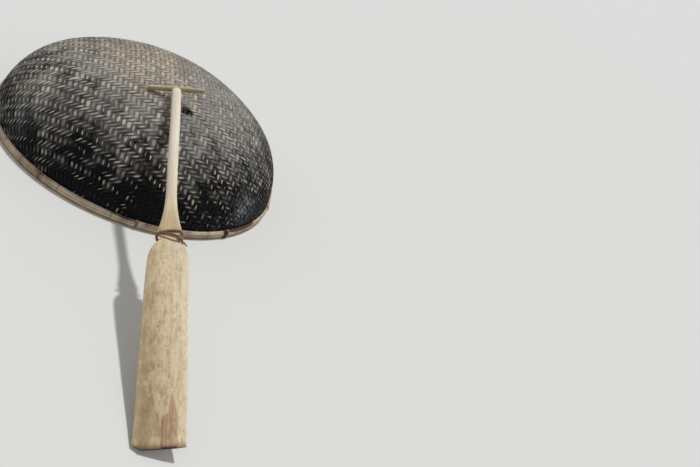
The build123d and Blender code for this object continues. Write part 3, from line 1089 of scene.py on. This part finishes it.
class CORACLE_OT_lash_gunwale(bpy.types.Operator):
    """Wind the lashings and the broad binding round the gunwale"""

    bl_idname = "coracle.lash_gunwale"
    bl_label = "Lash Gunwale"

    def execute(self, context):
        settings = context.scene.coracle_gunwale
        cord = cord_finish("lashing cord", linear(0.62, 0.52, 0.40), linear(0.33, 0.25, 0.18))
        strand = linear(0.74, 0.66, 0.52)
        dark = cord_finish("binding cord", linear(0.36, 0.30, 0.23), linear(0.13, 0.10, 0.07), strand)
        first, *others = lashing_azimuths()
        bm = bmesh.new()
        for azimuth in others:
            self.wind(bm, azimuth, settings.lashing_turns, settings, settings.strip_thickness, False)
        bmesh.ops.recalc_face_normals(bm, faces=bm.faces)
        piece_from(bm, "lashing_turns", (cord,), ("gunwale_lashings",))
        bm = bmesh.new()
        self.wind(bm, first, settings.binding_turns, settings, settings.strip_thickness * 1.4, True)
        bmesh.ops.recalc_face_normals(bm, faces=bm.faces)
        piece_from(bm, "binding_turns", (dark,), ("rim_binding",))
        return {"FINISHED"}

    def between(self, start, end):
        """Three points on the way from one to another."""
        return [tuple(blend(a, b, n / 4) for a, b in zip(start, end)) for n in range(1, 4)]

    def outline(self, thickness, round_cap):
        """A loop round the two hoops, as radius and height, and round the cap if asked."""
        steps = [2 * n / LASHING_SAMPLES - 1 for n in range(LASHING_SAMPLES + 1)]
        outside = [hoop_face(OUTER_HOOP, share) for share in steps]
        inside = [hoop_face(INNER_HOOP, -share) for share in steps]
        found = outside + self.between(outside[-1], inside[0]) + inside
        if not round_cap:
            return found + self.between(inside[-1], outside[0])
        low = thickness + 2 * SEAT_GAP
        inner_edge = HULL_RADIUS - HULL_WALL - CAP_OVERHANG
        return found + [(inner_edge, low), (HULL_RADIUS - HULL_WALL / 2, low), (HULL_RADIUS + CAP_OVERHANG, low)]

    def wind(self, bm, azimuth, turns, settings, thickness, round_cap):
        """Turns side by side, each a loop round the hoops, or round the cap as well."""
        outline = [Vector(point) for point in self.outline(thickness, round_cap)]
        middle = sum(outline, Vector((0, 0))) / len(outline)
        pitch = settings.strip_width + SEAT_GAP
        for turn in range(turns):
            shift = (turn - (turns - 1) / 2) * pitch
            around = azimuth + shift / HULL_RADIUS
            points, outwards = [], []
            for n, point in enumerate(outline):
                along = (outline[(n + 1) % len(outline)] - outline[n - 1]).normalized()
                out = Vector((along.y, -along.x))
                if out.dot(point - middle) < 0:
                    out = -out
                place = point + out * (SEAT_GAP + thickness / 2)
                sway = (wobble(turn, n, round(azimuth * 50)) - 0.5) * LASHING_SWAY / HULL_RADIUS
                points.append(at_azimuth(around + sway, place.x, place.y))
                outwards.append(at_azimuth(around, out.x, out.y))
            pale = 1.0 if round_cap and turn == turns - 1 else 0.0
            flat = thickness / settings.strip_width
            marks = {"pale": lambda column, row, pale=pale: pale}
            cord_tube(bm, points, outwards, settings.strip_width / 2, flat, 8, True, marks)


# Paddle


def paddle_point(along, across, off):
    """Point by its place along the paddle, across it and off its face."""
    return PADDLE_TOP + DOWN_PADDLE * along + ACROSS_PADDLE * across + OFF_PADDLE * off


def power(exponent):
    """A growth by a power of the share."""
    return lambda share: share**exponent


def shoulder_growth(share):
    """Growth of the shoulder's width: quick at the neck, slow at the blade."""
    return (1 - (1 - share) ** SHOULDER_FULLNESS) ** (1 / SHOULDER_FULLNESS)


# Place along the paddle, width, thickness and corner radius there, and how the width grows up to it
SECTIONS = (
    (0.0, SHAFT_WIDTH, SHAFT_THICKNESS, SHAFT_ROUND, power(1)),
    (FLARE_START, SHAFT_WIDTH, SHAFT_THICKNESS, SHAFT_ROUND, power(1)),
    (FLARE_END, FLARE_WIDTH, FLARE_THICKNESS, NECK_ROUND, power(2.3)),
    (FLARE_END + NECK_RAMP, NECK_WIDTH, NECK_THICKNESS, NECK_ROUND, power(1)),
    (NECK_END, NECK_WIDTH, NECK_THICKNESS, NECK_ROUND, power(1)),
    (SHOULDER_END, SHOULDER_WIDTH, SHOULDER_THICKNESS, SHOULDER_ROUND, shoulder_growth),
    (PADDLE_LENGTH, BLADE_TIP_WIDTH, BLADE_TIP_THICKNESS, BLADE_TIP_ROUND, power(0.5)),
)
# Length of the plank's rings between the sections, from the grip on
RING_GAPS = (0.03, 0.012, 0.003, 0.012, 0.003, 0.012)


def paddle_section(along):
    """Width, thickness and corner radius of the paddle at a place along it."""
    k = 1
    while k < len(SECTIONS) - 1 and along > SECTIONS[k][0]:
        k += 1
    start, *before, _ = SECTIONS[k - 1]
    end, *after, growth = SECTIONS[k]
    share = (along - start) / (end - start)
    return tuple(blend(a, b, s) for a, b, s in zip(before, after, (growth(share), share, share)))


def rounded_ring(width, thickness, corner, per_corner=5, per_face=5):
    """Points of a rounded rectangle, across and off, with more on its broad faces."""
    points = []
    half_width, half_thickness = width / 2 - corner, thickness / 2 - corner
    for quarter, (x, y) in enumerate(((1, 1), (-1, 1), (-1, -1), (1, -1))):
        for k in range(per_corner):
            angle = math.pi / 2 * (quarter + k / (per_corner - 1))
            across = x * half_width + corner * math.cos(angle)
            points.append((across, y * half_thickness + corner * math.sin(angle)))
        if quarter in (0, 2):
            start, off = points[-1]
            for k in range(1, per_face + 1):
                points.append((blend(start, -x * half_width, k / (per_face + 1)), off))
    return points


class PaddleSettings(bpy.types.PropertyGroup):
    """Colour and cord of the paddle."""

    wood_colour: tint("Blade wood", "Bare wood of the blade", 0.90, 0.82, 0.68)
    shaft_colour: tint("Shaft wood", "Bare wood of the shaft", 0.93, 0.895, 0.82)
    cord_radius: metres("Cord", "Radius of the neck's cord", 0.0060)


class CORACLE_OT_carve_paddle(bpy.types.Operator):
    """Carve the paddle from one plank and finish its grip"""

    bl_idname = "coracle.carve_paddle"
    bl_label = "Carve Paddle"

    def execute(self, context):
        self.plank(context.scene.coracle_paddle)
        dress(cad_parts["paddle_grip"], grip_finish())
        return {"FINISHED"}

    def stations(self):
        """Places along the paddle: even ones, with closer ones where its outline turns."""
        ends = [GRIP_SEAT] + [section[0] for section in SECTIONS[1:]]
        found = [GRIP_SEAT]
        for start, end, gap in zip(ends, ends[1:], RING_GAPS):
            count = max(1, round((end - start) / gap))
            found += [blend(start, end, (k + 1) / count) for k in range(count)]
        return found

    def plank(self, settings):
        """The shaft and the blade, with a worn edge at the tip."""
        rings, lengths = [], self.stations()
        for along in lengths:
            width, thickness, corner = paddle_section(along)
            sway = 0.0016 * ripple(along * 2.3, 0.7, 0.2)
            swell = 1 + 0.02 * ripple(along * 7.0, 3.1, 0.5)
            crown = BLADE_CROWN * clamp((along - NECK_START - NECK_LENGTH) / SHOULDER_LENGTH)
            past = max(0.0, along - (PADDLE_LENGTH - TIP_WEAR)) / TIP_WEAR
            ring = []
            for across, off in rounded_ring(width * swell, thickness, corner):
                off *= 1 - crown * (2 * across / width) ** 2
                clip = max(0.0, -across - 0.055) * 0.55 * past
                worn = 0.0018 * ripple(across * 30, along * 12, 1.3) * past
                ring.append(paddle_point(along - clip + worn, across + sway, off))
            rings.append(ring)
        bm = bmesh.new()
        edge_layer = bm.verts.layers.float.new("edge")
        uv = bm.loops.layers.uv.new("run")
        skin(bm, rings, lengths)
        for vert in bm.verts:
            local = vert.co - PADDLE_TOP
            width, _, _ = paddle_section(max(0.0, local.dot(DOWN_PADDLE)))
            across = abs(local.dot(ACROSS_PADDLE)) / (width / 2)
            # edge mark: where the painted highlight along the blade's edges goes
            vert[edge_layer] = clamp((across - 0.86) / 0.12) if width > 0.06 else 0.0
        bmesh.ops.recalc_face_normals(bm, faces=bm.faces)
        for face in bm.faces:
            for loop in face.loops:
                local = loop.vert.co - PADDLE_TOP
                loop[uv].uv = (local.dot(DOWN_PADDLE), local.dot(ACROSS_PADDLE) + local.dot(OFF_PADDLE) * 0.6)
        piece_from(bm, "paddle_plank", (paddle_finish(settings),), ("paddle",))


# Turns of the neck's cord: place along the paddle, slant towards the blade at the right,
# drop from the face to the sides, share of the cord's radius
NECK_TURNS = (
    (NECK_START - 0.003, -0.006, 0.015, 1.0),
    (NECK_START + 0.012, 0.012, 0.016, 1.0),
    (NECK_START + 0.036, 0.020, 0.002, 0.42),
)
NECK_KNOT = (NECK_START + 0.030, NECK_WIDTH / 2 + 0.004, NECK_THICKNESS / 2 + 0.002)
KNOT_SIZE = 0.0032
# The knot's two ends: side that they bend to, length
CORD_ENDS = ((1, 0.030), (-1, 0.022))


class CORACLE_OT_tie_neck(bpy.types.Operator):
    """Wind the cord in the paddle's neck, with one loose turn over the blade's shoulder"""

    bl_idname = "coracle.tie_neck"
    bl_label = "Tie Neck"

    def execute(self, context):
        radius = context.scene.coracle_paddle.cord_radius
        cord = cord_finish("neck cord", linear(0.70, 0.57, 0.44), linear(0.40, 0.29, 0.20))
        bm = bmesh.new()
        for middle, slant, drop, share in NECK_TURNS:
            self.turn(bm, middle, slant, drop, radius * share)
        self.knot(bm, paddle_point(*NECK_KNOT), radius)
        bmesh.ops.recalc_face_normals(bm, faces=bm.faces)
        piece_from(bm, "neck_cord", (cord,), ("paddle_neck_lashing",))
        return {"FINISHED"}

    def turn(self, bm, middle, slant, drop, radius, samples=96, squareness=4.0):
        """One turn of twisted cord round the neck, highest in the middle of the paddle's face."""
        points, outwards = [], []
        for k in range(samples):
            angle = math.tau * k / samples
            east, north = math.cos(angle), math.sin(angle)
            along = middle + slant * east + drop * (1 - north)
            width, thickness, _ = paddle_section(along)
            slack = NECK_SLACK * abs(east) ** 3
            half_width, half_thickness = width / 2 + radius + slack, thickness / 2 + radius
            reach = (abs(east) ** squareness + abs(north) ** squareness) ** (-1 / squareness)
            points.append(paddle_point(along, half_width * reach * east, half_thickness * reach * north))
            outwards.append(ACROSS_PADDLE * east + OFF_PADDLE * north)
        twisted_cord(bm, points, outwards, radius)

    def knot(self, bm, middle, radius, samples=72):
        """A small overhand knot with two frayed ends."""
        points = []
        for k in range(samples):
            angle = math.tau * k / samples
            along = KNOT_SIZE * (math.sin(angle) + 2 * math.sin(2 * angle))
            across = KNOT_SIZE * (math.cos(angle) - 2 * math.cos(2 * angle))
            off = -KNOT_SIZE * 1.3 * math.sin(3 * angle)
            points.append(middle + DOWN_PADDLE * along + ACROSS_PADDLE * across + OFF_PADDLE * off)
        cord_tube(bm, points, [OFF_PADDLE] * samples, radius * 0.7, sides=6, closed=True)
        for side, length in CORD_ENDS:
            points = []
            for k in range(9):
                share = k / 8
                bend = math.sin(share * 2.2) * 0.008 * side
                points.append(middle + DOWN_PADDLE * (length * share) + ACROSS_PADDLE * (0.006 * share + bend))
            cord_tube(bm, points, [OFF_PADDLE] * len(points), radius * 0.45, sides=6)


# Stage


class StageSettings(bpy.types.PropertyGroup):
    """Floor and light."""

    floor_colour: tint("Floor", "Pale floor", 0.86, 0.86, 0.85)
    key_strength: FloatProperty(name="Key", description="Strength of the key light", default=2.0)
    sky_strength: FloatProperty(name="Sky", description="Strength of the even light", default=0.42)


class CORACLE_OT_set_stage(bpy.types.Operator):
    """Set the camera, the pale floor and the soft light"""

    bl_idname = "coracle.set_stage"
    bl_label = "Set Stage"

    def execute(self, context):
        settings = context.scene.coracle_stage
        self.camera(context)
        self.floor(settings)
        self.lights(context, settings)
        context.scene.view_settings.view_transform = "Standard"
        return {"FINISHED"}

    def camera(self, context):
        """The photograph's view."""
        data = bpy.data.cameras.new("camera")
        data.lens = CAMERA_LENS
        data.sensor_width = 36.0
        data.sensor_fit = "HORIZONTAL"
        camera = placed("camera", data)
        up = CAMERA_RIGHT.cross(CAMERA_AHEAD).normalized()
        turned = Matrix((CAMERA_RIGHT, up, -CAMERA_AHEAD)).transposed()
        camera.matrix_world = Matrix.Translation(CAMERA_PLACE) @ turned.to_4x4()
        context.scene.camera = camera

    def floor(self, settings):
        """A wide pale floor under the rim."""
        bm = bmesh.new()
        bmesh.ops.create_grid(bm, x_segments=1, y_segments=1, size=400.0)
        finish = Finish("floor")
        finish.colour = opaque(settings.floor_colour)
        floor = placed("floor", mesh_from(bm, "floor"))
        floor.data.materials.append(finish.surface(0.9))

    def lights(self, context, settings):
        """A soft key light, and a sky that looks paler than it shines."""
        key = bpy.data.lights.new("key", "SUN")
        key.energy = settings.key_strength
        key.angle = math.radians(4)
        towards = (CAMERA_RIGHT * 0.62 + CAMERA_UP * 0.80 - CAMERA_AHEAD * 0.12).normalized()
        placed("key", key).rotation_euler = towards.to_track_quat("Z", "Y").to_euler()
        sky = Finish("pale sky", "worlds")
        context.scene.world = sky.block
        seen_by_camera = sky.node("ShaderNodeLightPath").outputs["Is Camera Ray"]
        shine = {"Color": (0.97, 0.98, 1.0, 1.0), "Strength": settings.sky_strength}
        even = sky.node("ShaderNodeBackground", None, shine).outputs[0]
        seen = sky.node("ShaderNodeBackground", None, {"Color": linear(0.865, 0.868, 0.862)}).outputs[0]
        mixed = sky.node("ShaderNodeMixShader", None, {0: seen_by_camera, 1: even, 2: seen}).outputs[0]
        sky.node("ShaderNodeOutputWorld", None, {0: mixed})


class CORACLE_PT_panel(bpy.types.Panel):
    """The steps that make the coracle, in order"""

    bl_idname = "CORACLE_PT_panel"
    bl_label = "Coracle"
    bl_space_type = "VIEW_3D"
    bl_region_type = "UI"
    bl_category = "Coracle"

    def draw(self, context):
        for operator in OPERATORS:
            self.layout.operator(operator.bl_idname)


OPERATORS = (
    CORACLE_OT_set_stage,
    CORACLE_OT_weave_hull,
    CORACLE_OT_fit_gunwale,
    CORACLE_OT_lash_gunwale,
    CORACLE_OT_carve_paddle,
    CORACLE_OT_tie_neck,
)
SETTINGS = {
    "coracle_weave": WeaveSettings,
    "coracle_gunwale": GunwaleSettings,
    "coracle_paddle": PaddleSettings,
    "coracle_stage": StageSettings,
}
CLASSES = (*SETTINGS.values(), *OPERATORS, CORACLE_PT_panel)


def register():
    for group in CLASSES:
        bpy.utils.register_class(group)
    for name, group in SETTINGS.items():
        setattr(bpy.types.Scene, name, PointerProperty(type=group))


def unregister():
    for name in SETTINGS:
        delattr(bpy.types.Scene, name)
    for group in reversed(CLASSES):
        bpy.utils.unregister_class(group)


def main():
    register()
    bpy.ops.coracle.set_stage()
    bpy.ops.coracle.weave_hull()
    bpy.ops.coracle.fit_gunwale()
    bpy.ops.coracle.lash_gunwale()
    bpy.ops.coracle.carve_paddle()
    bpy.ops.coracle.tie_neck()


if __name__ == "__main__":
    main()
